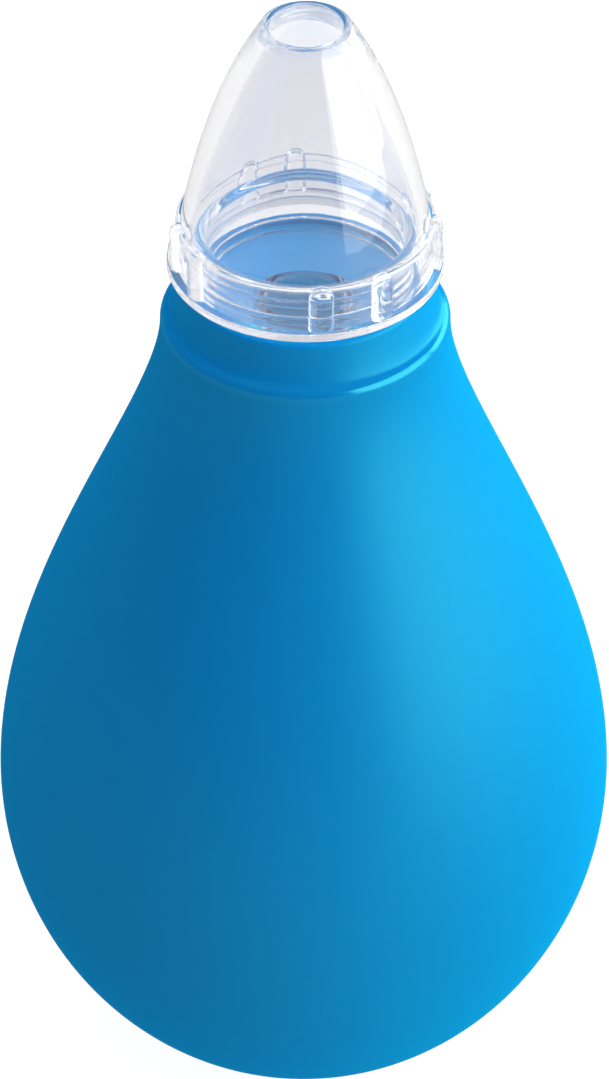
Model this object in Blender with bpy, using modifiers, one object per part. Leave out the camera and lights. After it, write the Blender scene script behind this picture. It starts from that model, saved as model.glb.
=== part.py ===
"""A nasal aspirator: a soft pear-shaped bulb, a clear funnel insert and a clear nozzle with grip ribs.

The frame stands on the flat base of the bulb: the origin is the centre of that base, +Z runs up the
common axis of all the pieces, and -Y is the front. Lengths are in metres.
"""

from math import asin, atan, cos, degrees, pi, radians, sin, sqrt

import bmesh
import bpy

MM = 0.001

# The bulb. Its outline is an ellipse below the belly and an S-curve from the belly up to the neck.
BELLY_RADIUS = 26.94 * MM
BELLY_HEIGHT = 27.0 * MM
BOWL_DEPTH = 29.5 * MM
NECK_RADIUS = 12.0 * MM
NECK_FOOT = 75.6 * MM
BELLY_PULL = 18.4 * MM
NECK_PULL = 10.4 * MM
BULB_WALL = 2.2 * MM
BASE_ROUND = 1.2 * MM
SHOULDER_HEIGHT = 76.5 * MM
SHOULDER_ROUND = 0.8 * MM
SEAT_RADIUS = 8.9 * MM
SEAT_FLOOR = 78.4 * MM
SEAT_RIM_RADIUS = 10.4 * MM
SEAT_RIM_HEIGHT = 80.0 * MM
SEAT_RIM_ROUND = 0.5 * MM
MOUTH_RADIUS = 4.85 * MM
MOUTH_TOP = 77.0 * MM
MOUTH_BOTTOM = 71.0 * MM
THROAT_ROUND = 2.5 * MM

# The funnel insert: a cup with a sloping floor, on a short tube that plugs into the bulb's mouth.
CUP_RADIUS = 8.05 * MM
CUP_WALL = 1.1 * MM
CUP_TOP = 84.85 * MM
CUP_FLOOR = 79.5 * MM
CUP_LEDGE = 80.35 * MM
PLUG_RADIUS = 8.6 * MM
FLOOR_THICKNESS = 0.9 * MM
FUNNEL_RADIUS = 4.3 * MM
FUNNEL_HEIGHT = 78.2 * MM
TUBE_BORE = 3.2 * MM
TUBE_RADIUS = 4.4 * MM
TUBE_BOTTOM = 68.5 * MM
TUBE_LIP = 0.4 * MM
BARB_RADIUS = 4.55 * MM
BARB_HEIGHT = 71.2 * MM
BARB_LENGTH = 0.4 * MM
FLOOR_FILLET = 0.4 * MM
BEAD_SIZE = 0.25 * MM
BEAD_HALF_LENGTH = 0.4 * MM
BEAD_LEVELS = (83.5 * MM, 81.9 * MM)

# The nozzle: a thin bullet-shaped shell with a round-edged tip, on a collar with a thin foot flange.
TIP_BORE = 3.0 * MM
LIP_RADIUS = 0.43 * MM
LIP_HEIGHT = 103.9 * MM
SHELL_BASE_RADIUS = 10.35 * MM
SHELL_BASE_HEIGHT = 85.6 * MM
SHELL_WALL = 1.1 * MM
SHELL_BASE_LEAN = 0.2
SHELL_TIP_LEAN = 0.62
SHELL_PULL = 6.0 * MM
COLLAR_RADIUS = 10.75 * MM
COLLAR_BORE = 9.75 * MM
COLLAR_TOP_ROUND = 0.3 * MM
COLLAR_CHAMFER = 0.2 * MM
INNER_TIP_DROP = 0.9 * MM
INNER_TIP_LEAN = 0.5
INNER_TIP_PULL = 5.0 * MM
STOP_HEIGHT = 85.2 * MM
FLANGE_RADIUS = 11.53 * MM
FLANGE_BOTTOM = 81.1 * MM
FLANGE_THICKNESS = 0.7 * MM
FLANGE_ROUND = 0.2 * MM

# The grip ribs: four pairs of half-round ribs round the collar, with domed tops. Their angles in
# degrees are counted from the front towards +X.
RIB_HALF_WIDTH = 1.05 * MM
RIB_HALF_DEPTH = 0.72 * MM
RIB_CIRCLE = 10.62 * MM
RIB_TOP = 85.95 * MM
RIB_BOTTOM = FLANGE_BOTTOM + FLANGE_THICKNESS / 2
RIB_ANGLES = (7.0, 35.5, 88.0, 115.0, 185.5, 211.0, 279.0, 303.5)

TURNING_STEPS = 40
RIB_STEPS = 12
MERGE = 0.00001

BLUE = (0.004, 0.22, 0.56)
BLUE_ROUGHNESS = 0.42
CLEAR = (0.86, 0.88, 0.92)
CLEAR_ROUGHNESS = 0.08
CLEAR_ALPHA = 0.35


def clear_scene():
    for thing in list(bpy.data.objects):
        bpy.data.objects.remove(thing, do_unlink=True)


def new_collection(name):
    collection = bpy.data.collections.new(name)
    bpy.context.scene.collection.children.link(collection)
    return collection


def bezier(start, pull_start, pull_end, end, count):
    """Points (radius, height) along a cubic curve, without its first point."""
    points = []
    for step in range(1, count + 1):
        t = step / count
        weights = ((1 - t) ** 3, 3 * (1 - t) ** 2 * t, 3 * (1 - t) * t**2, t**3)
        corners = (start, pull_start, pull_end, end)
        radius = sum(weight * corner[0] for weight, corner in zip(weights, corners))
        height = sum(weight * corner[1] for weight, corner in zip(weights, corners))
        points.append((radius, height))
    return points


def arc(centre, size, first, last, count):
    """Points (radius, height) on an ellipse quarter or part of it; size is one radius or a pair."""
    wide, tall = size if isinstance(size, tuple) else (size, size)
    points = []
    for step in range(count + 1):
        angle = radians(first + (last - first) * step / count)
        points.append((centre[0] + wide * cos(angle), centre[1] + tall * sin(angle)))
    return points


def turned(name, profile, material, collection, steps=TURNING_STEPS):
    """A solid of revolution about the Z axis. The closed profile runs down its outer side."""
    mesh = bpy.data.meshes.new(name)
    shape = bmesh.new()
    corners = [shape.verts.new((radius, 0.0, height)) for radius, height in profile]
    on_axis = [abs(radius) < MERGE for radius, _ in profile]
    for index, corner in enumerate(corners):
        following = (index + 1) % len(corners)
        if not (on_axis[index] and on_axis[following]):
            shape.edges.new((corner, corners[following]))
    shape.to_mesh(mesh)
    shape.free()
    piece = bpy.data.objects.new(name, mesh)
    collection.objects.link(piece)
    screw = piece.modifiers.new("Turning", "SCREW")
    screw.axis = "Z"
    screw.angle = 2 * pi
    screw.steps = steps
    screw.render_steps = steps
    screw.use_merge_vertices = True
    screw.merge_threshold = MERGE
    screw.use_smooth_shade = True
    piece.data.materials.append(material)
    return piece


def plastic(name, colour, roughness, alpha=1.0):
    material = bpy.data.materials.new(name)
    material.use_nodes = True
    shader = material.node_tree.nodes["Principled BSDF"]
    shader.inputs["Base Color"].default_value = (*colour, 1.0)
    shader.inputs["Roughness"].default_value = roughness
    shader.inputs["Metallic"].default_value = 0.0
    shader.inputs["Alpha"].default_value = alpha
    material.diffuse_color = (*colour, alpha)
    return material


def bulb_profile():
    """The bulb: seat, shoulder and pear-shaped outside, then the cavity and the mouth."""
    belly = (BELLY_RADIUS, BELLY_HEIGHT)
    neck = (NECK_RADIUS, NECK_FOOT)
    rim_centre = (SEAT_RIM_RADIUS - SEAT_RIM_ROUND, SEAT_RIM_HEIGHT - SEAT_RIM_ROUND)
    shoulder_centre = (NECK_RADIUS - SHOULDER_ROUND, SHOULDER_HEIGHT - SHOULDER_ROUND)
    profile = [(MOUTH_RADIUS, MOUTH_TOP), (SEAT_RADIUS, SEAT_FLOOR), (SEAT_RADIUS, SEAT_RIM_HEIGHT)]
    profile += arc(rim_centre, SEAT_RIM_ROUND, 90, 0, 2)
    profile += [(SEAT_RIM_RADIUS, SHOULDER_HEIGHT)]
    profile += arc(shoulder_centre, SHOULDER_ROUND, 90, 0, 4)
    profile += [neck]
    neck_pull = (NECK_RADIUS, NECK_FOOT - NECK_PULL)
    belly_pull = (BELLY_RADIUS, BELLY_HEIGHT + BELLY_PULL)
    profile += bezier(neck, neck_pull, belly_pull, belly, 14)

    bowl_size = (BELLY_RADIUS, BOWL_DEPTH)
    bowl_end = degrees(asin((BELLY_HEIGHT - BASE_ROUND) / BOWL_DEPTH))
    base_radius = BELLY_RADIUS * sqrt(1 - (BELLY_HEIGHT / BOWL_DEPTH) ** 2) - BASE_ROUND / 2
    profile += arc((0.0, BELLY_HEIGHT), bowl_size, 0, -bowl_end, 10)[1:]
    profile += [(base_radius, 0.0), (0.0, 0.0)]

    cavity_size = (BELLY_RADIUS - BULB_WALL, BELLY_HEIGHT - BULB_WALL)
    profile += [(0.0, BULB_WALL)]
    profile += arc((0.0, BELLY_HEIGHT), cavity_size, -90, 0, 8)[1:]
    cavity_top = (NECK_RADIUS - BULB_WALL, MOUTH_BOTTOM - 2 * THROAT_ROUND)
    belly_pull = (cavity_size[0], BELLY_HEIGHT + BELLY_PULL)
    neck_pull = (cavity_top[0], cavity_top[1] - NECK_PULL)
    throat_corner = (cavity_top[0], MOUTH_BOTTOM)
    profile += bezier((cavity_size[0], BELLY_HEIGHT), belly_pull, neck_pull, cavity_top, 10)
    profile += bezier(cavity_top, throat_corner, throat_corner, (MOUTH_RADIUS, MOUTH_BOTTOM), 5)
    return profile


def insert_profile():
    """The insert: rim and outside of the cup, plug and tube, then the bore, the funnel and the cup."""
    outer_wall = CUP_RADIUS + CUP_WALL
    slope = (CUP_FLOOR - FUNNEL_HEIGHT) / (CUP_RADIUS - FUNNEL_RADIUS)
    plug_foot = CUP_FLOOR + (PLUG_RADIUS - CUP_RADIUS) * slope - FLOOR_THICKNESS
    tube_head = FUNNEL_HEIGHT + (TUBE_RADIUS - FUNNEL_RADIUS) * slope - FLOOR_THICKNESS
    bore_edge = FUNNEL_RADIUS - TUBE_BORE
    lean = degrees(atan(slope))
    fillet_centre = (CUP_RADIUS - FLOOR_FILLET, CUP_FLOOR + FLOOR_FILLET)

    profile = arc((CUP_RADIUS + CUP_WALL / 2, CUP_TOP - CUP_WALL / 2), CUP_WALL / 2, 180, 0, 6)
    for level in BEAD_LEVELS:
        profile += [(outer_wall, level + BEAD_HALF_LENGTH), (outer_wall + BEAD_SIZE, level)]
        profile += [(outer_wall, level - BEAD_HALF_LENGTH)]
    profile += [(outer_wall, CUP_LEDGE), (PLUG_RADIUS, CUP_LEDGE), (PLUG_RADIUS, plug_foot)]
    profile += [(TUBE_RADIUS, tube_head), (TUBE_RADIUS, BARB_HEIGHT + BARB_LENGTH)]
    profile += [(BARB_RADIUS, BARB_HEIGHT), (TUBE_BORE + TUBE_LIP, TUBE_BOTTOM), (TUBE_BORE, TUBE_BOTTOM)]
    profile += arc((FUNNEL_RADIUS, FUNNEL_HEIGHT - bore_edge), bore_edge, 180, 90 + lean, 5)
    profile += arc(fillet_centre, FLOOR_FILLET, lean - 90, 0, 3)
    return profile


def nozzle_profile():
    """The nozzle: tip lip, outside of the shell, collar and foot flange, then the bore and the inside."""
    lip_centre = (TIP_BORE + LIP_RADIUS, LIP_HEIGHT)
    base = (SHELL_BASE_RADIUS, SHELL_BASE_HEIGHT)
    inner_base = (SHELL_BASE_RADIUS - SHELL_WALL, STOP_HEIGHT)
    inner_tip = (TIP_BORE, LIP_HEIGHT - INNER_TIP_DROP)
    flange_top = FLANGE_BOTTOM + FLANGE_THICKNESS
    flange_centre = (FLANGE_RADIUS - FLANGE_ROUND, flange_top - FLANGE_ROUND)
    collar_centre = (COLLAR_RADIUS - COLLAR_TOP_ROUND, SHELL_BASE_HEIGHT - COLLAR_TOP_ROUND)

    profile = arc(lip_centre, LIP_RADIUS, 180, 90, 4)
    profile += arc(lip_centre, LIP_RADIUS, 90, degrees(atan(SHELL_TIP_LEAN)), 2)[1:]
    tip = profile[-1]
    tip_pull = (tip[0] + SHELL_PULL * SHELL_TIP_LEAN, tip[1] - SHELL_PULL)
    base_pull = (base[0] - SHELL_PULL * SHELL_BASE_LEAN, base[1] + SHELL_PULL)
    profile += bezier(tip, tip_pull, base_pull, base, 10)
    profile += arc(collar_centre, COLLAR_TOP_ROUND, 90, 0, 3)
    profile += [(COLLAR_RADIUS, flange_top)]
    profile += arc(flange_centre, FLANGE_ROUND, 90, 0, 2)
    profile += [(FLANGE_RADIUS, FLANGE_BOTTOM), (COLLAR_BORE + COLLAR_CHAMFER, FLANGE_BOTTOM)]
    profile += [(COLLAR_BORE, FLANGE_BOTTOM + COLLAR_CHAMFER), (COLLAR_BORE, STOP_HEIGHT), inner_base]
    base_pull = (inner_base[0] - SHELL_PULL * SHELL_BASE_LEAN, inner_base[1] + SHELL_PULL)
    tip_pull = (inner_tip[0] + INNER_TIP_PULL * INNER_TIP_LEAN, inner_tip[1] - INNER_TIP_PULL)
    profile += bezier(inner_base, base_pull, tip_pull, inner_tip, 8)
    return profile


def grip_rib(index, angle, material, collection):
    """One upright rib with a domed top, flattened towards the axis, as a helper for the union."""
    dome_centre = RIB_TOP - RIB_HALF_WIDTH
    profile = [(0.0, RIB_TOP)]
    profile += arc((0.0, dome_centre), RIB_HALF_WIDTH, 90, 0, 4)[1:]
    profile += [(RIB_HALF_WIDTH, RIB_BOTTOM), (0.0, RIB_BOTTOM)]
    rib = turned(f"rib_{index + 1}", profile, material, collection, RIB_STEPS)
    rib.location = (RIB_CIRCLE * sin(radians(angle)), -RIB_CIRCLE * cos(radians(angle)), 0.0)
    rib.rotation_euler = (0.0, 0.0, radians(angle - 90))
    rib.scale = (RIB_HALF_DEPTH / RIB_HALF_WIDTH, 1.0, 1.0)
    rib.hide_render = True
    rib.display_type = "WIRE"
    return rib


def add_ribs(nozzle, collection):
    for index, angle in enumerate(RIB_ANGLES):
        rib = grip_rib(index, angle, nozzle.data.materials[0], collection)
        union = nozzle.modifiers.new(f"Rib {index + 1}", "BOOLEAN")
        union.operation = "UNION"
        union.solver = "EXACT"
        union.object = rib


def main():
    clear_scene()
    parts = new_collection("nasal_aspirator")
    helpers = new_collection("helpers")
    blue_plastic = plastic("soft_blue_plastic", BLUE, BLUE_ROUGHNESS)
    insert_plastic = plastic("clear_insert_plastic", CLEAR, CLEAR_ROUGHNESS, CLEAR_ALPHA)
    nozzle_plastic = plastic("clear_nozzle_plastic", CLEAR, CLEAR_ROUGHNESS, CLEAR_ALPHA)
    turned("bulb", bulb_profile(), blue_plastic, parts)
    turned("funnel_insert", insert_profile(), insert_plastic, parts)
    nozzle = turned("nozzle", nozzle_profile(), nozzle_plastic, parts)
    add_ribs(nozzle, helpers)


main()
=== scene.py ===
# %% [markdown]
# # A nasal aspirator: a soft blue bulb and a clear nozzle
#
# The real object has three moulded pieces. A soft bulb is squeezed and let go, and that draws air in.
# A clear funnel insert plugs the bulb's mouth and catches what comes in. A clear nozzle with small
# grip ribs sits on the insert and is pulled off for washing.
#
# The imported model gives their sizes, places and joints. This lesson makes their fine surfaces and
# finishes round that frame, and then the table, the light and the camera.

from math import asin, atan, cos, degrees, pi, radians, sin, sqrt

import bmesh
import bpy
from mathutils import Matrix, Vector


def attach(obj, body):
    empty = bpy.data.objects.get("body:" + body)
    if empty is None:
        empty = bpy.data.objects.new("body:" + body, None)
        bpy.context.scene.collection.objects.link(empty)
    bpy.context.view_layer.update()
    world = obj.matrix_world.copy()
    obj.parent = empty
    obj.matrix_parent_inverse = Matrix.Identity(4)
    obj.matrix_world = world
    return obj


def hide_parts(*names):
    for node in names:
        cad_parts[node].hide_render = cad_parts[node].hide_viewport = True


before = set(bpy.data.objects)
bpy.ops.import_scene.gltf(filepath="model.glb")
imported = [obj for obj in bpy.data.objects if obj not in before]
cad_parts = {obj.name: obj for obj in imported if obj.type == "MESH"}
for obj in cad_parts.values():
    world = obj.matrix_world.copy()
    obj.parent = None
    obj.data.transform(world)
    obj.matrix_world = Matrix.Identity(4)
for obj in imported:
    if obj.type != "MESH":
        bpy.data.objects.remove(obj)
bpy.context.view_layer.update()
MM = 0.001

# %% [markdown]
# ## A short way to write node trees
#
# Geometry Nodes and material nodes both need sums such as `radius * cosine`. Clicking them together is
# slow to read, so one small class wraps a socket and turns Python's own operators into Math nodes.
# Every other node comes from one method, which sets the node's options first and its sockets second.

# %% Wrap a socket, so that sums read as sums
class Wire:
    """An output socket in a node tree. Sums with numbers or other wires add Math nodes."""

    def __init__(self, graph, socket):
        self.graph = graph
        self.socket = socket

    def __add__(self, other):
        return self.graph.sum("ADD", self, other)

    def __sub__(self, other):
        return self.graph.sum("SUBTRACT", self, other)

    def __rsub__(self, other):
        return self.graph.sum("SUBTRACT", other, self)

    def __mul__(self, other):
        return self.graph.sum("MULTIPLY", self, other)

    def __truediv__(self, other):
        return self.graph.sum("DIVIDE", self, other)

    def __mod__(self, other):
        return self.graph.sum("MODULO", self, other)

    def __gt__(self, other):
        return self.graph.sum("GREATER_THAN", self, other)

    def __lt__(self, other):
        return self.graph.sum("LESS_THAN", self, other)

    __radd__ = __add__
    __rmul__ = __mul__


def find_socket(sockets, key):
    """The socket with that identifier or name, leaving out the ones that the node has switched off."""
    live = [socket for socket in sockets if socket.enabled]
    exact = [socket for socket in live if socket.identifier == key]
    named = [socket for socket in live if socket.name == key]
    return (exact + named)[0]


class Graph:
    """A node tree that is written from Python."""

    def __init__(self, tree):
        self.tree = tree

    def make(self, kind, settings=None, sockets=None, output=None):
        """Adds a node: its settings first, then the values or links of its sockets."""
        node = self.tree.nodes.new(kind)
        for name, value in (settings or {}).items():
            setattr(node, name, value)
        for key, value in (sockets or {}).items():
            socket = find_socket(node.inputs, key)
            if isinstance(value, list):
                for wire in value:
                    self.tree.links.new(wire.socket, socket)
            elif isinstance(value, Wire):
                self.tree.links.new(value.socket, socket)
            else:
                socket.default_value = value
        if output is None:
            return node
        return Wire(self, find_socket(node.outputs, output))

    def sum(self, operation, first, second=0.0):
        """One Math node."""
        node = self.make("ShaderNodeMath", {"operation": operation})
        for socket, value in zip(node.inputs, (first, second)):
            if isinstance(value, Wire):
                self.tree.links.new(value.socket, socket)
            else:
                socket.default_value = value
        return Wire(self, node.outputs[0])

    def mix_colour(self, share, first, second):
        """One colour before the share reaches 1, and the other after."""
        sockets = {"Factor_Float": share, "A_Color": first, "B_Color": second}
        return self.make("ShaderNodeMix", {"data_type": "RGBA"}, sockets, "Result_Color")

    def mix_shaders(self, share, first, second):
        """The first shader, with this share of the second."""
        sockets = {"Fac": share, "Shader": first, "Shader_001": second}
        return self.make("ShaderNodeMixShader", {}, sockets, "Shader")

    def finish(self, shader):
        """Gives the material this shader."""
        self.make("ShaderNodeOutputMaterial", {}, {"Surface": shader})


# %% A Geometry Nodes tree with named inputs
def geometry_tree(name, inputs):
    """A new tree with a Geometry input, these inputs and a Geometry output, and its group input node."""
    tree = bpy.data.node_groups.new(name, "GeometryNodeTree")
    tree.interface.new_socket("Geometry", in_out="INPUT", socket_type="NodeSocketGeometry")
    tree.interface.new_socket("Geometry", in_out="OUTPUT", socket_type="NodeSocketGeometry")
    for label, kind in inputs.items():
        tree.interface.new_socket(label, in_out="INPUT", socket_type=kind)
    graph = Graph(tree)
    return graph, graph.make("NodeGroupInput")


def apply_tree(piece, graph, values):
    """Runs the tree on the piece, and returns a new object with the result as a plain mesh."""
    modifier = piece.modifiers.new("Tree", "NODES")
    modifier.node_group = graph.tree
    for item in graph.tree.interface.items_tree:
        if item.in_out == "INPUT" and item.name in values:
            modifier[item.identifier] = values[item.name]
    view = bpy.context.evaluated_depsgraph_get()
    view.update()
    mesh = bpy.data.meshes.new_from_object(piece.evaluated_get(view))
    name = piece.name
    piece.modifiers.clear()
    bpy.data.objects.remove(piece)
    mesh.name = name
    made = bpy.data.objects.new(name, mesh)
    bpy.context.scene.collection.objects.link(made)
    return made


# %% [markdown]
# ## The blue plastic
#
# The bulb is soft vinyl with a satin skin. It has no pattern, but it isn't flat either: the pigment
# varies a little, the skin has a very fine grain that breaks up the sheen, and dust clings to it.
# Noise on Object coordinates gives the drift of colour and the grain, at sizes in metres.
#
# Vinyl like this is a little cloudy, so light goes in and comes out nearby. Subsurface scattering with a
# depth of a few millimetres does that. Light also soaks right through into the hollow, which looks a
# vivid blue through the clear pieces. The soft shader doesn't carry light through a wall of that
# thickness, so the inner surfaces get a painted glow, an emission that stands in for that light: the
# mouth is picked by its radius and the cavity by an ellipse that lies inside the wall.
#
# The sheen could be the Principled shader's own, but that is white, and on this skin it takes the
# pigment's colour. So that one is switched off and a tinted Glossy shader is mixed in. The rounded lip
# at the top of the neck is polished by the mould, so it is smoother there and takes more sheen.

# %% Blue vinyl
VINYL_BLUE = (0.0, 0.128, 0.375, 1.0)
VINYL_PALE = (0.0, 0.136, 0.390, 1.0)
DUST_GREY = (0.35, 0.60, 0.75, 1.0)
SHEEN_TINT = (0.12, 1.0, 0.82, 1.0)
SHEEN_SHARE = 0.066
LIP_SHARE = 0.12
SKIN_DEPTH = 2.5 * MM
SKIN_SHARE = 0.4
SKIN_ROUGHNESS = 0.40
LIP_ROUGHNESS = 0.16
GLOSS_LOW = 75.2 * MM
GLOSS_HIGH = 76.9 * MM
GLOSS_FADE = 0.5 * MM

# Painted glow on the hollow, standing in for light that comes through the wall: on the mouth within a
# radius and between two heights, and on the cavity within an ellipse that is taller above its middle
# than below it.
MOUTH_LIMIT = 10.0 * MM
MOUTH_FOOT = 58.0 * MM
CAVITY_MIDDLE = 27.0 * MM
CAVITY_LIMIT = 25.8 * MM
CAVITY_ABOVE = 34.4 * MM
CAVITY_BELOW = 27.0 * MM
GLOW_TOP = 79.6 * MM
PAINTED_INNER_GLOW = (0.0, 0.155, 0.29, 1.0)
NO_GLOW = (0.0, 0.0, 0.0, 1.0)

BODY_ROUGHNESS = 0.6
SKIN_DRIFT = 0.06
DRIFT_SIZE = 18.0 * MM
GRAIN_SIZE = 0.22 * MM
GRAIN_DEPTH = 0.004 * MM
DUST_SPACING = 11.0 * MM
DUST_RADIUS = 0.012


def new_material(name):
    """A new material with no nodes, and its graph."""
    material = bpy.data.materials.new(name)
    material.use_nodes = True
    material.node_tree.nodes.clear()
    return material, Graph(material.node_tree)


def noise(graph, coordinates, size, detail=2.0):
    """Soft noise from 0 to 1, with blotches of about this size."""
    sockets = {"Vector": coordinates, "Scale": 1.0 / size, "Detail": detail}
    return graph.make("ShaderNodeTexNoise", {}, sockets, "Fac")


def inner_surfaces(graph, radius, height):
    """1 on the bulb's mouth and cavity, where the painted glow goes, and 0 outside."""
    above = height > CAVITY_MIDDLE
    tall = CAVITY_BELOW + (CAVITY_ABOVE - CAVITY_BELOW) * above
    rise = (height - CAVITY_MIDDLE) / tall
    wide = radius / CAVITY_LIMIT
    cavity = (wide * wide + rise * rise) < 1.0
    mouth = (radius < MOUTH_LIMIT) * (height > MOUTH_FOOT) * (height < GLOW_TOP)
    return graph.sum("MAXIMUM", cavity, mouth)


def polished_lip(graph, height):
    """1 on the neck's lip, fading to 0 above and below it."""
    lip = graph.sum("MINIMUM", height - GLOSS_LOW, GLOSS_HIGH - height) / GLOSS_FADE
    return graph.sum("MINIMUM", graph.sum("MAXIMUM", lip, 0.0), 1.0)


def blue_vinyl():
    material, graph = new_material("soft_blue_vinyl")
    place = graph.make("ShaderNodeTexCoord", {}, {}, "Object")
    drift = noise(graph, place, DRIFT_SIZE)
    grain = noise(graph, place, GRAIN_SIZE, 3.0)
    sockets = {"Vector": place, "Scale": 1.0 / DUST_SPACING}
    distance = graph.make("ShaderNodeTexVoronoi", {}, sockets, "Distance")
    dust = distance < DUST_RADIUS
    pigment = graph.mix_colour(drift, VINYL_BLUE, VINYL_PALE)
    colour = graph.mix_colour(dust, pigment, DUST_GREY)
    sockets = {"Height": grain, "Distance": GRAIN_DEPTH, "Strength": 1.0}
    bump = graph.make("ShaderNodeBump", {}, sockets, "Normal")
    parts = graph.make("ShaderNodeSeparateXYZ", {}, {"Vector": place})
    across, along, height = (Wire(graph, parts.outputs[name]) for name in ("X", "Y", "Z"))
    radius = graph.sum("SQRT", across * across + along * along)
    # Painted glow on the mouth and cavity: an emission that stands in for light coming through the wall.
    glow = graph.mix_colour(inner_surfaces(graph, radius, height), NO_GLOW, PAINTED_INNER_GLOW)
    sockets = {
        "Base Color": colour,
        "Roughness": BODY_ROUGHNESS,
        "Specular IOR Level": 0.0,
        "Subsurface Weight": SKIN_SHARE,
        "Subsurface Radius": (1.0, 1.0, 1.0),
        "Subsurface Scale": SKIN_DEPTH,
        "Emission Color": glow,
        "Emission Strength": 1.0,
        "Normal": bump,
    }
    body = graph.make("ShaderNodeBsdfPrincipled", {}, sockets, "BSDF")
    lip = polished_lip(graph, height)
    roughness = (1.0 - lip) * (SKIN_ROUGHNESS + SKIN_DRIFT * drift) + lip * LIP_ROUGHNESS
    sockets = {"Color": SHEEN_TINT, "Roughness": roughness, "Normal": bump}
    sheen = graph.make("ShaderNodeBsdfGlossy", {}, sockets, "BSDF")
    share = SHEEN_SHARE + (LIP_SHARE - SHEEN_SHARE) * lip
    graph.finish(graph.mix_shaders(share, body, sheen))
    return material


VINYL = blue_vinyl()
print("made", VINYL.name)

# %% [markdown]
# ## The clear plastic
#
# The nozzle and the insert are injection-moulded in clear rigid plastic. Such plastic bends light a
# little more than water does, has a faint cool tint where it is thick, and keeps soft flow marks from
# the mould. Real walls with two faces do the bending here, so the shader only needs to be clear.
# The nozzle lets a small share of light scatter, which gives the plastic's slight haze.
#
# A shader that bends light also stops the rays that look for a lamp, so the pieces inside would stand
# in a shadow that the real ones don't have. Those rays alone pass through, by the Light Path node.

# %% Clear plastic
CLEAR_TINT = (0.835, 0.835, 0.863, 1.0)
INSERT_TINT = (0.95, 0.955, 0.97, 1.0)
CLEAR_SHARE = 0.988
INSERT_SHARE = 1.0
CLEAR_GLOSS = 0.13
INSERT_GLOSS = 0.05
CLEAR_IOR = 1.53
CLEAR_ROUGHNESS = 0.02
INSERT_ROUGHNESS = 0.03
FLOW_ROUGHNESS = 0.02
FLOW_SIZE = 4.0 * MM
FLOW_DEPTH = 0.010 * MM


def clear_plastic(name, tint, share, gloss, roughness):
    """Clear plastic that lets this share of the light through and scatters the rest."""
    material, graph = new_material(name)
    place = graph.make("ShaderNodeTexCoord", {}, {}, "Object")
    flow = noise(graph, place, FLOW_SIZE)
    sockets = {"Height": flow, "Distance": FLOW_DEPTH, "Strength": 1.0}
    bump = graph.make("ShaderNodeBump", {}, sockets, "Normal")
    shader = graph.make(
        "ShaderNodeBsdfPrincipled",
        {},
        {
            "Base Color": tint,
            "Roughness": roughness + FLOW_ROUGHNESS * flow,
            "IOR": CLEAR_IOR,
            "Specular IOR Level": gloss,
            "Transmission Weight": share,
            "Normal": bump,
        },
        "BSDF",
    )
    lamps = graph.make("ShaderNodeLightPath", {}, {}, "Is Shadow Ray")
    through = graph.make("ShaderNodeBsdfTransparent", {}, {}, "BSDF")
    graph.finish(graph.mix_shaders(lamps, shader, through))
    return material


CLEAR_NOZZLE = clear_plastic(
    "clear_nozzle_plastic", CLEAR_TINT, CLEAR_SHARE, CLEAR_GLOSS, CLEAR_ROUGHNESS
)
CLEAR_INSERT = clear_plastic(
    "clear_insert_plastic", INSERT_TINT, INSERT_SHARE, INSERT_GLOSS, INSERT_ROUGHNESS
)
print("made", CLEAR_NOZZLE.name, "and", CLEAR_INSERT.name)

# %% [markdown]
# ## Turning a piece from its outline
#
# All three pieces are round, so each follows one rule: an outline turned about the upright axis. A
# Screw modifier could do it. A tree is used instead, because it closes the seam and the poles itself
# and the same tree serves every piece: a grid is made with one row for each point of the outline, and
# each grid point is put at its outline point's radius and height.

# %% Points along curves
def bezier(start, pull_start, pull_end, end, count):
    """Points (radius, height) along a cubic curve, without its first point."""
    points = []
    for step in range(1, count + 1):
        t = step / count
        weights = ((1 - t) ** 3, 3 * (1 - t) ** 2 * t, 3 * (1 - t) * t**2, t**3)
        corners = (start, pull_start, pull_end, end)
        radius = sum(weight * corner[0] for weight, corner in zip(weights, corners))
        height = sum(weight * corner[1] for weight, corner in zip(weights, corners))
        points.append((radius, height))
    return points


def arc(centre, size, first, last, count):
    """Points (radius, height) on part of an ellipse; size is one radius or a pair."""
    wide, tall = size if isinstance(size, tuple) else (size, size)
    points = []
    for step in range(count + 1):
        angle = radians(first + (last - first) * step / count)
        points.append((centre[0] + wide * cos(angle), centre[1] + tall * sin(angle)))
    return points


def outline(name, points):
    """An object that holds the points as a mesh, for a tree to read."""
    mesh = bpy.data.meshes.new(name)
    mesh.from_pydata([(radius, 0.0, height) for radius, height in points], [], [])
    piece = bpy.data.objects.new(name, mesh)
    bpy.context.scene.collection.objects.link(piece)
    return piece


# %% The turning tree
WELD = 0.000001


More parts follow.
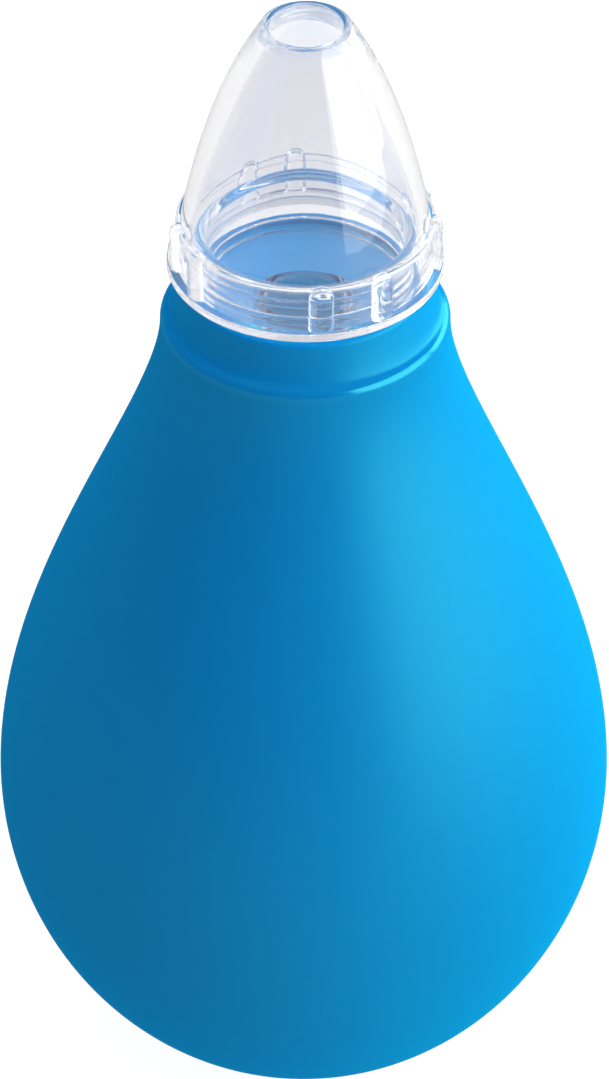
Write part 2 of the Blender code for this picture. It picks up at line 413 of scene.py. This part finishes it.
def turning_tree():
    inputs = {"Columns": "NodeSocketInt", "Finish": "NodeSocketMaterial"}
    graph, given = geometry_tree("Turned piece", inputs)
    profile = Wire(graph, given.outputs["Geometry"])
    columns = Wire(graph, given.outputs["Columns"])
    finish = Wire(graph, given.outputs["Finish"])
    settings = {"component": "MESH"}
    count = graph.make(
        "GeometryNodeAttributeDomainSize", settings, {"Geometry": profile}, "Point Count"
    )
    rows = count + 1
    sockets = {"Vertices X": columns + 1, "Vertices Y": rows}
    grid = graph.make("GeometryNodeMeshGrid", {}, sockets, "Mesh")
    index = graph.make("GeometryNodeInputIndex", {}, {}, "Index")
    row = index % rows
    column = graph.sum("FLOOR", (index + 0.5) / rows)
    position = graph.make("GeometryNodeInputPosition", {}, {}, "Position")
    settings = {"data_type": "FLOAT_VECTOR", "domain": "POINT"}
    sockets = {"Geometry": profile, "Value": position, "Index": row % count}
    point = graph.make("GeometryNodeSampleIndex", settings, sockets, "Value")
    parts = graph.make("ShaderNodeSeparateXYZ", {}, {"Vector": point})
    radius = Wire(graph, parts.outputs["X"])
    height = Wire(graph, parts.outputs["Z"])
    angle = column * (2 * pi) / columns
    across = radius * graph.sum("COSINE", angle)
    along = radius * graph.sum("SINE", angle)
    sockets = {"X": across, "Y": along, "Z": height}
    place = graph.make("ShaderNodeCombineXYZ", {}, sockets, "Vector")
    sockets = {"Geometry": grid, "Position": place}
    turned = graph.make("GeometryNodeSetPosition", {}, sockets, "Geometry")
    sockets = {"Geometry": turned, "Distance": WELD}
    welded = graph.make("GeometryNodeMergeByDistance", {}, sockets, "Geometry")
    sockets = {"Geometry": welded, "Shade Smooth": True}
    smooth = graph.make("GeometryNodeSetShadeSmooth", {}, sockets, "Geometry")
    real = graph.make("GeometryNodeRealizeInstances", {}, {"Geometry": smooth}, "Geometry")
    sockets = {"Geometry": real, "Material": finish}
    finished = graph.make("GeometryNodeSetMaterial", {}, sockets, "Geometry")
    graph.make("NodeGroupOutput", {}, {"Geometry": finished})
    return graph


TURNING = turning_tree()


def signed_volume(mesh):
    """The mesh's volume, which is negative if its faces point inwards."""
    mesh.calc_loop_triangles()
    total = 0.0
    for triangle in mesh.loop_triangles:
        a, b, c = (mesh.vertices[corner].co for corner in triangle.vertices)
        total += a.dot(b.cross(c)) / 6.0
    return total


def tidy_mesh(piece):
    """Turns the faces outwards, drops edges without faces and reports whether the surface is closed."""
    shape = bmesh.new()
    shape.from_mesh(piece.data)
    if signed_volume(piece.data) < 0:
        bmesh.ops.reverse_faces(shape, faces=shape.faces)
    stray = [edge for edge in shape.edges if not edge.link_faces]
    bmesh.ops.delete(shape, geom=stray, context="EDGES")
    open_edges = sum(1 for edge in shape.edges if len(edge.link_faces) != 2)
    shape.to_mesh(piece.data)
    shape.free()
    piece.data.calc_loop_triangles()
    cubic_mm = signed_volume(piece.data) * 1e9
    triangles = len(piece.data.loop_triangles)
    print(piece.name, triangles, "triangles,", open_edges, "open edges,", round(cubic_mm), "cubic mm")


def turned(name, points, finish, columns):
    piece = apply_tree(outline(name, points), TURNING, {"Columns": columns, "Finish": finish})
    tidy_mesh(piece)
    return piece


# %% [markdown]
# ## The bulb
#
# The bulb is a hollow pear with a wall of about 2 mm. Its bowl is an ellipse on a small flat base, an
# S-curve leads up to the neck, which ends in a rounded lip. Inside the lip a raised ring with a leaning
# wall takes the insert. Outside and cavity are one closed outline, so the wall is real, as it is in the
# CAD piece.

# %% The bulb's outline
BELLY_RADIUS = 26.94 * MM
BELLY_HEIGHT = 27.0 * MM
BOWL_DEPTH = 29.5 * MM
NECK_RADIUS = 12.15 * MM
NECK_FOOT = 75.6 * MM
BELLY_PULL = 18.4 * MM
NECK_PULL = 10.4 * MM
BULB_WALL = 2.2 * MM
BASE_ROUND = 1.2 * MM
BOWL_PULL = 0.2 * MM
BASE_PULL = 0.8 * MM
SHOULDER_HEIGHT = 76.6 * MM
SHOULDER_ROUND = 1.0 * MM
SHOULDER_BREAK = 60.0
SEAT_RADIUS = 8.9 * MM
SEAT_FLOOR = 78.4 * MM
SEAT_RIM_RADIUS = 10.4 * MM
SEAT_RIM_HEIGHT = 80.0 * MM
SEAT_RIM_ROUND = 0.5 * MM
SEAT_FOOT_RADIUS = 10.85 * MM
SEAT_FOOT_HEIGHT = 77.9 * MM
SEAT_FOOT_PULL = 0.75 * MM
SHOULDER_PULL = 0.5 * MM
MOUTH_RADIUS = 4.85 * MM
MOUTH_TOP = 77.0 * MM
MOUTH_BOTTOM = 71.0 * MM
THROAT_ROUND = 2.5 * MM


def shoulder():
    """The leaning wall of the seat ring, its fillet and the rounded lip at the top of the neck."""
    centre = (NECK_RADIUS - SHOULDER_ROUND, SHOULDER_HEIGHT - SHOULDER_ROUND)
    lip = arc(centre, SHOULDER_ROUND, SHOULDER_BREAK, 0, 12)
    foot = (SEAT_FOOT_RADIUS, SEAT_FOOT_HEIGHT)
    lean = atan((foot[0] - SEAT_RIM_RADIUS) / (SEAT_RIM_HEIGHT - SEAT_RIM_ROUND - foot[1]))
    foot_pull = (foot[0] + SEAT_FOOT_PULL * sin(lean), foot[1] - SEAT_FOOT_PULL * cos(lean))
    turn = radians(SHOULDER_BREAK)
    lip_pull = (lip[0][0] - SHOULDER_PULL * sin(turn), lip[0][1] + SHOULDER_PULL * cos(turn))
    return [foot] + bezier(foot, foot_pull, lip_pull, lip[0], 12) + lip[1:]


def bulb_outline():
    """Seat, shoulder and pear-shaped outside, then the cavity and the mouth."""
    belly = (BELLY_RADIUS, BELLY_HEIGHT)
    neck = (NECK_RADIUS, NECK_FOOT)
    rim_centre = (SEAT_RIM_RADIUS - SEAT_RIM_ROUND, SEAT_RIM_HEIGHT - SEAT_RIM_ROUND)
    points = [(MOUTH_RADIUS, MOUTH_TOP), (SEAT_RADIUS, SEAT_FLOOR), (SEAT_RADIUS, SEAT_RIM_HEIGHT)]
    points += arc(rim_centre, SEAT_RIM_ROUND, 90, 0, 8)
    points += shoulder()
    neck_pull = (NECK_RADIUS, NECK_FOOT - NECK_PULL)
    belly_pull = (BELLY_RADIUS, BELLY_HEIGHT + BELLY_PULL)
    points += bezier(neck, neck_pull, belly_pull, belly, 72)

    bowl_size = (BELLY_RADIUS, BOWL_DEPTH)
    bowl_end = degrees(asin((BELLY_HEIGHT - BASE_ROUND) / BOWL_DEPTH))
    base_radius = BELLY_RADIUS * sqrt(1 - (BELLY_HEIGHT / BOWL_DEPTH) ** 2) - BASE_ROUND / 2
    points += arc((0.0, BELLY_HEIGHT), bowl_size, 0, -bowl_end, 48)[1:]
    bowl_pull = (base_radius + BASE_ROUND, BOWL_PULL)
    base_pull = (base_radius + BASE_PULL, 0.0)
    points += bezier(points[-1], bowl_pull, base_pull, (base_radius, 0.0), 6)
    points += [(0.0, 0.0)]

    cavity_size = (BELLY_RADIUS - BULB_WALL, BELLY_HEIGHT - BULB_WALL)
    points += [(0.0, BULB_WALL)]
    points += arc((0.0, BELLY_HEIGHT), cavity_size, -90, 0, 24)[1:]
    cavity_top = (NECK_RADIUS - BULB_WALL, MOUTH_BOTTOM - 2 * THROAT_ROUND)
    belly_pull = (cavity_size[0], BELLY_HEIGHT + BELLY_PULL)
    neck_pull = (cavity_top[0], cavity_top[1] - NECK_PULL)
    throat_corner = (cavity_top[0], MOUTH_BOTTOM)
    points += bezier((cavity_size[0], BELLY_HEIGHT), belly_pull, neck_pull, cavity_top, 30)
    points += bezier(cavity_top, throat_corner, throat_corner, (MOUTH_RADIUS, MOUTH_BOTTOM), 10)
    return points


BULB_COLUMNS = 192
bulb = turned("blue_bulb", bulb_outline(), VINYL, BULB_COLUMNS)

# %% [markdown]
# ## The funnel insert
#
# The insert is a cup with a sloping floor on a short tube. The tube plugs the bulb's mouth, and two thin
# beads round the cup seal against the nozzle. It is one moulding, so it is one closed outline too.

# %% The insert's outline
CUP_RADIUS = 8.05 * MM
CUP_WALL = 1.1 * MM
CUP_TOP = 84.85 * MM
CUP_FLOOR = 79.5 * MM
CUP_LEDGE = 80.35 * MM
PLUG_RADIUS = 8.6 * MM
FLOOR_THICKNESS = 0.9 * MM
FUNNEL_RADIUS = 4.3 * MM
FUNNEL_HEIGHT = 78.2 * MM
TUBE_BORE = 3.2 * MM
TUBE_RADIUS = 4.4 * MM
TUBE_BOTTOM = 68.5 * MM
TUBE_LIP = 0.4 * MM
BARB_RADIUS = 4.55 * MM
BARB_HEIGHT = 71.2 * MM
BARB_LENGTH = 0.4 * MM
FLOOR_FILLET = 0.4 * MM
BEAD_SIZE = 0.12 * MM
BEAD_HALF_LENGTH = 0.4 * MM
BEAD_LEVELS = (83.5 * MM, 81.9 * MM)


def insert_outline():
    """Rim and outside of the cup, plug and tube, then the bore, the funnel and the cup."""
    outer_wall = CUP_RADIUS + CUP_WALL
    slope = (CUP_FLOOR - FUNNEL_HEIGHT) / (CUP_RADIUS - FUNNEL_RADIUS)
    plug_foot = CUP_FLOOR + (PLUG_RADIUS - CUP_RADIUS) * slope - FLOOR_THICKNESS
    tube_head = FUNNEL_HEIGHT + (TUBE_RADIUS - FUNNEL_RADIUS) * slope - FLOOR_THICKNESS
    bore_edge = FUNNEL_RADIUS - TUBE_BORE
    lean = degrees(atan(slope))
    fillet_centre = (CUP_RADIUS - FLOOR_FILLET, CUP_FLOOR + FLOOR_FILLET)

    points = arc((CUP_RADIUS + CUP_WALL / 2, CUP_TOP - CUP_WALL / 2), CUP_WALL / 2, 180, 0, 20)
    for level in BEAD_LEVELS:
        points += arc((outer_wall, level), (BEAD_SIZE, BEAD_HALF_LENGTH), 90, -90, 10)
    points += [(outer_wall, CUP_LEDGE), (PLUG_RADIUS, CUP_LEDGE), (PLUG_RADIUS, plug_foot)]
    points += [(TUBE_RADIUS, tube_head), (TUBE_RADIUS, BARB_HEIGHT + BARB_LENGTH)]
    points += [(BARB_RADIUS, BARB_HEIGHT), (TUBE_BORE + TUBE_LIP, TUBE_BOTTOM), (TUBE_BORE, TUBE_BOTTOM)]
    points += arc((FUNNEL_RADIUS, FUNNEL_HEIGHT - bore_edge), bore_edge, 180, 90 + lean, 16)
    points += arc(fillet_centre, FLOOR_FILLET, lean - 90, 0, 8)
    return points


CLEAR_COLUMNS = 160
insert = turned("clear_insert", insert_outline(), CLEAR_INSERT, CLEAR_COLUMNS)

# %% [markdown]
# ## The nozzle
#
# The nozzle is a thin bullet-shaped shell with a round lip at its tip, on a collar with a thin flange.
# Four pairs of small upright ribs on the collar give wet fingers a grip. The shell is turned like the
# other pieces. The ribs repeat, so a second tree copies one rib to each of its places on a circle and
# joins the copies to the shell, which keeps the clear plastic one solid with no hidden walls inside it.

# %% The nozzle's outline
TIP_BORE = 3.0 * MM
LIP_RADIUS = 0.43 * MM
LIP_HEIGHT = 103.9 * MM
SHELL_BASE_RADIUS = 10.35 * MM
SHELL_BASE_HEIGHT = 85.6 * MM
SHELL_WALL = 1.1 * MM
SHELL_BASE_LEAN = 0.2
SHELL_TIP_LEAN = 0.62
SHELL_PULL = 6.0 * MM
COLLAR_RADIUS = 10.75 * MM
COLLAR_BORE = 9.75 * MM
COLLAR_TOP_ROUND = 0.3 * MM
COLLAR_CHAMFER = 0.2 * MM
INNER_TIP_DROP = 0.9 * MM
INNER_TIP_LEAN = 0.5
INNER_TIP_PULL = 5.0 * MM
STOP_HEIGHT = 85.2 * MM
FLANGE_RADIUS = 11.53 * MM
FLANGE_BOTTOM = 81.1 * MM
FLANGE_THICKNESS = 0.7 * MM
FLANGE_ROUND = 0.2 * MM


def nozzle_outline():
    """Tip lip, outside of the shell, collar and foot flange, then the bore and the inside."""
    lip_centre = (TIP_BORE + LIP_RADIUS, LIP_HEIGHT)
    base = (SHELL_BASE_RADIUS, SHELL_BASE_HEIGHT)
    inner_base = (SHELL_BASE_RADIUS - SHELL_WALL, STOP_HEIGHT)
    inner_tip = (TIP_BORE, LIP_HEIGHT - INNER_TIP_DROP)
    flange_top = FLANGE_BOTTOM + FLANGE_THICKNESS
    flange_centre = (FLANGE_RADIUS - FLANGE_ROUND, flange_top - FLANGE_ROUND)
    foot_centre = (FLANGE_RADIUS - FLANGE_ROUND, FLANGE_BOTTOM + FLANGE_ROUND)
    collar_centre = (COLLAR_RADIUS - COLLAR_TOP_ROUND, SHELL_BASE_HEIGHT - COLLAR_TOP_ROUND)

    points = arc(lip_centre, LIP_RADIUS, 180, 90, 12)
    points += arc(lip_centre, LIP_RADIUS, 90, degrees(atan(SHELL_TIP_LEAN)), 8)[1:]
    tip = points[-1]
    tip_pull = (tip[0] + SHELL_PULL * SHELL_TIP_LEAN, tip[1] - SHELL_PULL)
    base_pull = (base[0] - SHELL_PULL * SHELL_BASE_LEAN, base[1] + SHELL_PULL)
    points += bezier(tip, tip_pull, base_pull, base, 40)
    points += arc(collar_centre, COLLAR_TOP_ROUND, 90, 0, 8)
    points += [(COLLAR_RADIUS, flange_top)]
    points += arc(flange_centre, FLANGE_ROUND, 90, 0, 6)
    points += arc(foot_centre, FLANGE_ROUND, 0, -90, 6)
    points += [(COLLAR_BORE + COLLAR_CHAMFER, FLANGE_BOTTOM)]
    points += [(COLLAR_BORE, FLANGE_BOTTOM + COLLAR_CHAMFER), (COLLAR_BORE, STOP_HEIGHT), inner_base]
    base_pull = (inner_base[0] - SHELL_PULL * SHELL_BASE_LEAN, inner_base[1] + SHELL_PULL)
    tip_pull = (inner_tip[0] + INNER_TIP_PULL * INNER_TIP_LEAN, inner_tip[1] - INNER_TIP_PULL)
    points += bezier(inner_base, base_pull, tip_pull, inner_tip, 40)
    return points


shell = turned("shell", nozzle_outline(), CLEAR_NOZZLE, CLEAR_COLUMNS)

# %% One rib, and the tree that sets the ribs round the collar
RIB_HALF_WIDTH = 1.05 * MM
RIB_HALF_DEPTH = 0.72 * MM
RIB_CIRCLE = 10.62 * MM
RIB_TOP = 85.95 * MM
RIB_BOTTOM = FLANGE_BOTTOM + FLANGE_THICKNESS / 2
RIB_ANGLES = (7.0, 35.5, 88.0, 115.0, 185.5, 211.0, 279.0, 303.5)
RIB_COLUMNS = 32


def one_rib():
    """An upright round rod with a domed top, flattened towards the object's axis."""
    points = [(0.0, RIB_TOP)]
    points += arc((0.0, RIB_TOP - RIB_HALF_WIDTH), RIB_HALF_WIDTH, 90, 0, 10)[1:]
    points += [(RIB_HALF_WIDTH, RIB_BOTTOM), (0.0, RIB_BOTTOM)]
    rib = turned("rib", points, CLEAR_NOZZLE, RIB_COLUMNS)
    for vertex in rib.data.vertices:
        vertex.co.y *= RIB_HALF_DEPTH / RIB_HALF_WIDTH
    return rib


def rib_places():
    """One point for each rib on the circle of their centres. Angles run from the front towards +X."""
    turns = [radians(angle) for angle in RIB_ANGLES]
    mesh = bpy.data.meshes.new("rib places")
    mesh.from_pydata([(RIB_CIRCLE * sin(turn), -RIB_CIRCLE * cos(turn), 0.0) for turn in turns], [], [])
    places = bpy.data.objects.new("rib places", mesh)
    bpy.context.scene.collection.objects.link(places)
    return places


def rib_tree():
    inputs = {
        "Rib": "NodeSocketObject",
        "Places": "NodeSocketObject",
        "Finish": "NodeSocketMaterial",
    }
    graph, given = geometry_tree("Grip ribs", inputs)
    body, rib, places, finish = (
        Wire(graph, given.outputs[name]) for name in ("Geometry", "Rib", "Places", "Finish")
    )
    points = graph.make("GeometryNodeObjectInfo", {}, {"Object": places}, "Geometry")
    position = graph.make("GeometryNodeInputPosition", {}, {}, "Position")
    parts = graph.make("ShaderNodeSeparateXYZ", {}, {"Vector": position})
    across, along = (Wire(graph, parts.outputs[name]) for name in ("X", "Y"))
    angle = graph.sum("ARCTAN2", across, along * -1)
    shape = graph.make("GeometryNodeObjectInfo", {}, {"Object": rib}, "Geometry")
    euler = graph.make("ShaderNodeCombineXYZ", {}, {"Z": angle}, "Vector")
    turn = graph.make("FunctionNodeEulerToRotation", {}, {"Euler": euler}, "Rotation")
    sockets = {"Points": points, "Instance": shape, "Rotation": turn}
    copies = graph.make("GeometryNodeInstanceOnPoints", {}, sockets, "Instances")
    real = graph.make("GeometryNodeRealizeInstances", {}, {"Geometry": copies}, "Geometry")
    settings = {"operation": "UNION", "solver": "EXACT"}
    joined = graph.make("GeometryNodeMeshBoolean", settings, {"Mesh 2": [body, real]}, "Mesh")
    sockets = {"Geometry": joined, "Distance": WELD}
    welded = graph.make("GeometryNodeMergeByDistance", {}, sockets, "Geometry")
    sockets = {"Geometry": welded, "Material": finish}
    finished = graph.make("GeometryNodeSetMaterial", {}, sockets, "Geometry")
    graph.make("NodeGroupOutput", {}, {"Geometry": finished})
    return graph


rib = one_rib()
places = rib_places()
values = {"Rib": rib, "Places": places, "Finish": CLEAR_NOZZLE}
nozzle = apply_tree(shell, rib_tree(), values)
nozzle.name = "clear_nozzle"
for helper in (rib, places):
    bpy.data.objects.remove(helper)
tidy_mesh(nozzle)

# %% Shade each piece smooth, and keep its real corners sharp
CORNER = radians(32.0)


def shade(piece):
    piece.data.shade_smooth()
    piece.data.set_sharp_from_angle(angle=CORNER)


for piece in (bulb, insert, nozzle):
    shade(piece)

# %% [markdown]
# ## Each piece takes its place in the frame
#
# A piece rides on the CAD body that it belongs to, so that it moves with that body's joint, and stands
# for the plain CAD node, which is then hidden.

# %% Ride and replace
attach(bulb, "bulb_body")
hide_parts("bulb")
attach(insert, "insert_body")
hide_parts("funnel_insert")
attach(nozzle, "nozzle_body")
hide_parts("nozzle")

# %% [markdown]
# ## Table, light and camera
#
# The table is plain and nearly white. It glows, as a lit table for product pictures does, so that the
# shadow under the object stays faint. Mirrored in the plastic it is dimmer, or the pieces would lose
# their edges against it.
#
# The key is one large soft light on the right, and its mirror image is the streak on the nozzle. A rim
# light behind it catches the bulb's right edge. A low warm card lifts the lower right side, and a wide
# ceiling lights what faces up. These last two can't be seen in the pieces, where they would leave a
# veil. The room is dim, except as seen through the clear plastic, so that the walls look clear.

# %% The table
FLOOR_SIZE = 4.0
FLOOR_GLOW = 1.12
FLOOR_WHITE = (0.9, 0.9, 0.9, 1.0)
FLOOR_SHARE = 0.15
FLOOR_IN_GLOSS = 0.3


def make_floor():
    material, graph = new_material("pale_table")
    plain = graph.make("ShaderNodeBsdfDiffuse", {}, {"Color": FLOOR_WHITE}, "BSDF")
    ray = graph.make("ShaderNodeLightPath")
    mirrored = Wire(graph, ray.outputs["Is Glossy Ray"]) * Wire(graph, ray.outputs["Is Reflection Ray"])
    strength = FLOOR_GLOW * (1.0 - (1.0 - FLOOR_IN_GLOSS) * mirrored)
    glow = graph.make("ShaderNodeEmission", {}, {"Strength": strength}, "Emission")
    graph.finish(graph.mix_shaders(FLOOR_SHARE, glow, plain))
    mesh = bpy.data.meshes.new("table")
    half = FLOOR_SIZE / 2
    corners = [(-half, -half, 0.0), (half, -half, 0.0), (half, half, 0.0), (-half, half, 0.0)]
    mesh.from_pydata(corners, [], [(0, 1, 2, 3)])
    mesh.materials.append(material)
    floor = bpy.data.objects.new("table", mesh)
    bpy.context.scene.collection.objects.link(floor)
    return floor


floor = make_floor()

# %% The light
WORLD_STRENGTH = 0.16
WORLD_IN_CLEAR = 0.95
KEY_AZIMUTH = radians(70.0)
KEY_ELEVATION = radians(15.0)
KEY_DISTANCE = 0.6
KEY_SIZE = (0.78, 0.5)
KEY_POWER = 4.3
RIM_AZIMUTH = radians(128.0)
RIM_ELEVATION = radians(6.0)
RIM_DISTANCE = 0.6
RIM_SIZE = (0.45, 0.4)
RIM_POWER = 2.8
LOW_AZIMUTH = radians(75.0)
LOW_ELEVATION = radians(2.0)
LOW_DISTANCE = 0.5
LOW_SIZE = (0.5, 0.12)
LOW_POWER = 2.4
LOW_COLOUR = (1.0, 0.98, 0.42)
CEILING_DISTANCE = 1.0
CEILING_SIZE = (1.4, 1.4)
CEILING_POWER = 19.0
LIGHT_TARGET = Vector((0.0, 0.0, 0.05))


def soft_light(name, azimuth, elevation, distance, size, power):
    """A soft light that looks at the object. Azimuth 0 is the front and 90 degrees the right."""
    light = bpy.data.lights.new(name, "AREA")
    light.shape = "RECTANGLE"
    light.size, light.size_y = size
    light.energy = power
    lamp = bpy.data.objects.new(name, light)
    level = cos(elevation)
    towards = Vector((sin(azimuth) * level, -cos(azimuth) * level, sin(elevation)))
    lamp.location = LIGHT_TARGET + towards * distance
    lamp.rotation_euler = towards.to_track_quat("Z", "Y").to_euler()
    bpy.context.scene.collection.objects.link(lamp)
    radiance = power / (pi * size[0] * size[1])
    print(name, "light,", round(radiance, 2), "W per square metre and steradian")
    return lamp


soft_light("key", KEY_AZIMUTH, KEY_ELEVATION, KEY_DISTANCE, KEY_SIZE, KEY_POWER)
soft_light("rim", RIM_AZIMUTH, RIM_ELEVATION, RIM_DISTANCE, RIM_SIZE, RIM_POWER)
low_light = soft_light("low", LOW_AZIMUTH, LOW_ELEVATION, LOW_DISTANCE, LOW_SIZE, LOW_POWER)
low_light.data.color = LOW_COLOUR
ceiling = soft_light(
    "ceiling", 0.0, radians(90.0), CEILING_DISTANCE, CEILING_SIZE, CEILING_POWER
)
for lamp in (low_light, ceiling):
    lamp.visible_glossy = False
    lamp.visible_transmission = False

world = bpy.data.worlds.new("studio")
world.use_nodes = True
world.node_tree.nodes.clear()
studio = Graph(world.node_tree)
bent = studio.make("ShaderNodeLightPath", {}, {}, "Is Transmission Ray")
strength = WORLD_STRENGTH + (WORLD_IN_CLEAR - WORLD_STRENGTH) * bent
sockets = {"Color": (1.0, 1.0, 1.0, 1.0), "Strength": strength}
backdrop = studio.make("ShaderNodeBackground", {}, sockets, "Background")
studio.make("ShaderNodeOutputWorld", {}, {"Surface": backdrop})
bpy.context.scene.world = world

# %% [markdown]
# A long lens far away keeps the tall bulb from looking squeezed. Inside clear plastic a ray is mirrored
# many times between the faces, and one that is cut short turns black, so rays may take many steps.

# %% The camera
CAMERA_ELEVATION = radians(38.0)
CAMERA_DISTANCE = 0.4741
CAMERA_TARGET = Vector((0.0, 0.0, 0.05184))
CAMERA_LENS = 183.5
CAMERA_ROLL = radians(0.2)
PATH_STEPS = 80

camera_data = bpy.data.cameras.new("camera")
camera_data.lens = CAMERA_LENS
camera_data.sensor_width = 36.0
camera_data.clip_start = 0.01
camera = bpy.data.objects.new("camera", camera_data)
away = Vector((0.0, -cos(CAMERA_ELEVATION), sin(CAMERA_ELEVATION)))
camera.location = CAMERA_TARGET + away * CAMERA_DISTANCE
camera.rotation_euler = away.to_track_quat("Z", "Y").to_euler()
camera.rotation_euler.rotate_axis("Z", CAMERA_ROLL)
bpy.context.scene.collection.objects.link(camera)
bpy.context.scene.camera = camera
bpy.context.scene.view_settings.view_transform = "Standard"
cycles = bpy.context.scene.cycles
cycles.max_bounces = PATH_STEPS
cycles.glossy_bounces = PATH_STEPS
cycles.transmission_bounces = PATH_STEPS
cycles.transparent_max_bounces = PATH_STEPS
